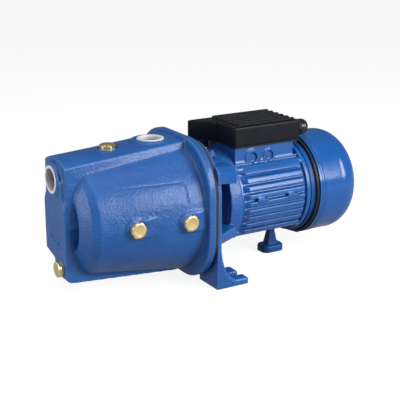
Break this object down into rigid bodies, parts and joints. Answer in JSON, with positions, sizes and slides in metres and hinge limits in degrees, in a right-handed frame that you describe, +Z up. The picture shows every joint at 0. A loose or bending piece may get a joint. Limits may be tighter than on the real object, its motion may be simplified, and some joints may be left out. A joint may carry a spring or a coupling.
{
  "type": "shallow well jet pump",
  "caption": "Self-priming electric jet pump: cast wet end with ejector inside, bracket with slotted feet, fan cooled motor and terminal box on one shaft.",
  "frame": {"origin": "on the base plane, midway between the bolt centres of the two open foot slots", "axes": "+X along the shaft from the suction port to the fan, +Y across, +Z up"},
  "size_m": [0.4294, 0.188, 0.1932],
  "materials": {
    "cast_blue": "gloss blue enamel over sand cast iron",
    "housing_blue": "gloss blue enamel over die cast aluminium",
    "cover_blue": "gloss blue enamel on pressed steel",
    "black_plastic": "satin moulded black",
    "white_plastic": "glossy white moulding",
    "grey_plastic": "matt grey moulding",
    "brass": "machined brass",
    "steel": "zinc plated or ground steel",
    "core_steel": "laminated electrical steel",
    "copper_coils": "enamelled copper wire, varnished",
    "black_rubber": "moulded nitrile rubber",
    "ceramic": "lapped alumina ceramic",
    "carbon": "pressed carbon graphite",
    "fibre": "compressed fibre washer"
  },
  "bodies": {
    "pump": {"pump_casing": "cast_blue", "motor_bracket": "cast_blue", "motor_foot": "cast_blue", "motor_housing": "housing_blue", "rear_shield": "housing_blue", "fan_cover": "cover_blue", "terminal_box_base": "black_plastic", "terminal_box_lid": "black_plastic", "cover_ring": "black_plastic", "gland_body": "black_plastic", "gland_nut": "black_plastic", "gland_locknut": "black_plastic", "terminal_block": "grey_plastic", "capacitor": "white_plastic", "priming_plug": "brass", "drain_plug": "brass", "side_plugs": "brass", "ejector_nozzle": "brass", "venturi_tube": "grey_plastic", "diffuser": "grey_plastic", "plug_washers": "fibre", "venturi_o_ring": "black_rubber", "casing_o_ring": "black_rubber", "seal_seat_cup": "black_rubber", "gland_seal": "black_rubber", "seal_seat": "ceramic", "back_plate": "steel", "casing_bolts": "steel", "wave_washer": "steel", "tie_rods": "steel", "cover_screws": "steel", "terminal_screws": "brass", "front_bearing_outer_ring": "steel", "rear_bearing_outer_ring": "steel", "stator_core": "core_steel", "stator_windings": "copper_coils"},
    "rotating_set": {"shaft": "steel", "rotor": "core_steel", "impeller": "brass", "impeller_nut": "brass", "seal_carbon_ring": "carbon", "seal_bellows": "black_rubber", "water_slinger": "black_rubber", "fan": "black_plastic", "fan_clip": "steel", "front_bearing_inner_ring": "steel", "rear_bearing_inner_ring": "steel"},
    "front_ball_set": {"front_bearing_balls": "steel"},
    "rear_ball_set": {"rear_bearing_balls": "steel"},
    "suction_cap": {"suction_cap": "white_plastic"},
    "discharge_cap": {"discharge_cap": "white_plastic"}
  },
  "joints": [
    {"name": "shaft_spin", "type": "hinge", "parent": "pump", "child": "rotating_set", "pos_m": [0, 0, 0.094], "axis": [1, 0, 0], "continuous": true},
    {"name": "front_ball_roll", "type": "hinge", "parent": "pump", "child": "front_ball_set", "pos_m": [-0.006, 0, 0.094], "axis": [1, 0, 0], "continuous": true},
    {"name": "rear_ball_roll", "type": "hinge", "parent": "pump", "child": "rear_ball_set", "pos_m": [0.1365, 0, 0.094], "axis": [1, 0, 0], "continuous": true},
    {"name": "suction_cap_pull", "type": "slide", "parent": "pump", "child": "suction_cap", "axis": [-1, 0, 0], "range_m": [0, 0.05]},
    {"name": "discharge_cap_pull", "type": "slide", "parent": "pump", "child": "discharge_cap", "axis": [0, 0, 1], "range_m": [0, 0.05]}
  ],
  "couplings": [
    {"joint": "front_ball_roll", "follows": "shaft_spin", "ratio": 0.395},
    {"joint": "rear_ball_roll", "follows": "shaft_spin", "ratio": 0.396}
  ]
}
